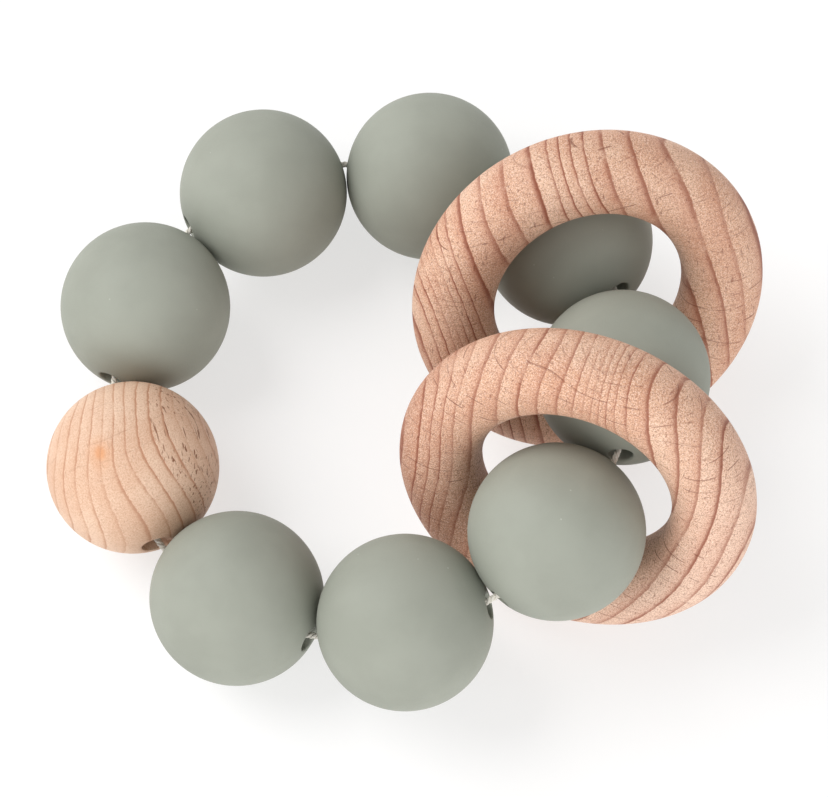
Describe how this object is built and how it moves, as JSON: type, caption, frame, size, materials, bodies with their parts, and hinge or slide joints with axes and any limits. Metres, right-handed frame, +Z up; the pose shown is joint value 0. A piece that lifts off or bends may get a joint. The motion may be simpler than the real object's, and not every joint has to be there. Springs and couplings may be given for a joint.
{
  "type": "teething ring",
  "caption": "Baby's teether: a closed strand of round silicone beads and a wooden bead on a cord, with loose wooden rings threaded on it.",
  "frame": {"origin": "centre of the bead loop, on the surface that the teether lies on", "axes": "+Z up out of the loop; +X towards the side where the two rings hang; -Y towards the front ring's side, where the strand rises"},
  "size_m": [0.0832, 0.0766, 0.0383],
  "materials": {
    "silicone": "matt, faintly soft-touch sage-green silicone",
    "bead_wood": "sanded untreated beech, pale, fine growth lines",
    "ring_wood": "turned and sanded beech, pinkish tan with growth bands and short flecks",
    "cord": "plain off-white twisted cord"
  },
  "bodies": {
    "strand": {"wooden_bead": "bead_wood", "cord": "cord", "knot": "cord"},
    "silicone_bead_1": {"silicone_bead_1": "silicone"},
    "silicone_bead_2": {"silicone_bead_2": "silicone"},
    "silicone_bead_3": {"silicone_bead_3": "silicone"},
    "silicone_bead_4": {"silicone_bead_4": "silicone"},
    "silicone_bead_5": {"silicone_bead_5": "silicone"},
    "silicone_bead_6": {"silicone_bead_6": "silicone"},
    "silicone_bead_7": {"silicone_bead_7": "silicone"},
    "silicone_bead_8": {"silicone_bead_8": "silicone"},
    "ring_front": {"ring_front": "ring_wood"},
    "ring_back": {"ring_back": "ring_wood"}
  },
  "joints": [
    {"name": "silicone_bead_1_spin", "type": "hinge", "parent": "strand", "child": "silicone_bead_1", "pos_m": [0.00699, 0.02804, 0.01], "axis": [-0.963, 0.2257, -0.1471], "continuous": true},
    {"name": "silicone_bead_2_spin", "type": "hinge", "parent": "strand", "child": "silicone_bead_2", "pos_m": [-0.01294, 0.02584, 0.01], "axis": [-0.8942, -0.4478, 0], "continuous": true},
    {"name": "silicone_bead_3_spin", "type": "hinge", "parent": "strand", "child": "silicone_bead_3", "pos_m": [-0.02664, 0.0112, 0.01], "axis": [-0.3875, -0.9219, 0], "continuous": true},
    {"name": "silicone_bead_4_spin", "type": "hinge", "parent": "strand", "child": "silicone_bead_4", "pos_m": [-0.01514, -0.02461, 0.01], "axis": [0.843, -0.5273, 0.1067], "continuous": true},
    {"name": "silicone_bead_5_spin", "type": "hinge", "parent": "strand", "child": "silicone_bead_5", "pos_m": [0.00409, -0.0286, 0.014], "axis": [0.956, 0.1276, 0.264], "continuous": true},
    {"name": "silicone_bead_6_spin", "type": "hinge", "parent": "strand", "child": "silicone_bead_6", "pos_m": [0.02107, -0.01978, 0.02], "axis": [0.6638, 0.7315, 0.1554], "continuous": true},
    {"name": "silicone_bead_7_spin", "type": "hinge", "parent": "strand", "child": "silicone_bead_7", "pos_m": [0.02887, -0.00131, 0.0198], "axis": [0.0534, 0.9913, -0.12], "continuous": true},
    {"name": "silicone_bead_8_spin", "type": "hinge", "parent": "strand", "child": "silicone_bead_8", "pos_m": [0.02307, 0.0174, 0.0155], "axis": [-0.5773, 0.7745, -0.2586], "continuous": true},
    {"name": "ring_front_tilt", "type": "hinge", "parent": "strand", "child": "ring_front", "pos_m": [0.021, -0.02, 0.00475], "axis": [0.9397, -0.342, 0], "range_deg": [0, 18]},
    {"name": "ring_back_tilt", "type": "hinge", "parent": "strand", "child": "ring_back", "pos_m": [0.0275, 0.001, 0.00475], "axis": [0.9703, 0.2419, 0], "range_deg": [0, 12]}
  ]
}
